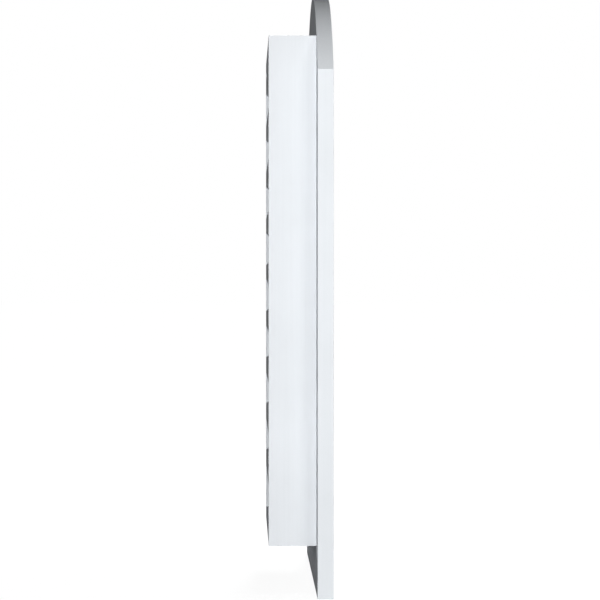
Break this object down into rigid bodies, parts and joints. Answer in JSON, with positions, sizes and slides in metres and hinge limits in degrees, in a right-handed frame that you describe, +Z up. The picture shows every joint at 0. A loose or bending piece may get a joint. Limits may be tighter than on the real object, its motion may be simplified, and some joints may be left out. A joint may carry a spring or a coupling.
{
  "type": "gable vent",
  "caption": "Arch-top gable vent: flat trim frame on a rectangular louver box with sloping louvers; it fills a wall opening, lets attic air out and sheds rain.",
  "frame": {"origin": "centre of the louver box's outline, on the plane where the back of the trim frame meets the wall", "axes": "+X across the vent, +Y from the face back through the wall, +Z up"},
  "size_m": [0.635, 0.1024, 0.9906],
  "materials": {
    "trim_pvc": "smooth satin white cellular PVC trim board",
    "board_pvc": "matt white cellular PVC board, saw-cut edges"
  },
  "bodies": {
    "root": {"frame_stile_left": "trim_pvc", "frame_stile_right": "trim_pvc", "frame_bottom_rail": "trim_pvc", "frame_arched_head": "trim_pvc", "box_side_left": "board_pvc", "box_side_right": "board_pvc", "box_top": "board_pvc", "box_bottom": "board_pvc", "louver_01": "board_pvc", "louver_02": "board_pvc", "louver_03": "board_pvc", "louver_04": "board_pvc", "louver_05": "board_pvc", "louver_06": "board_pvc", "louver_07": "board_pvc", "louver_08": "board_pvc", "louver_09": "board_pvc"}
  },
  "joints": []
}
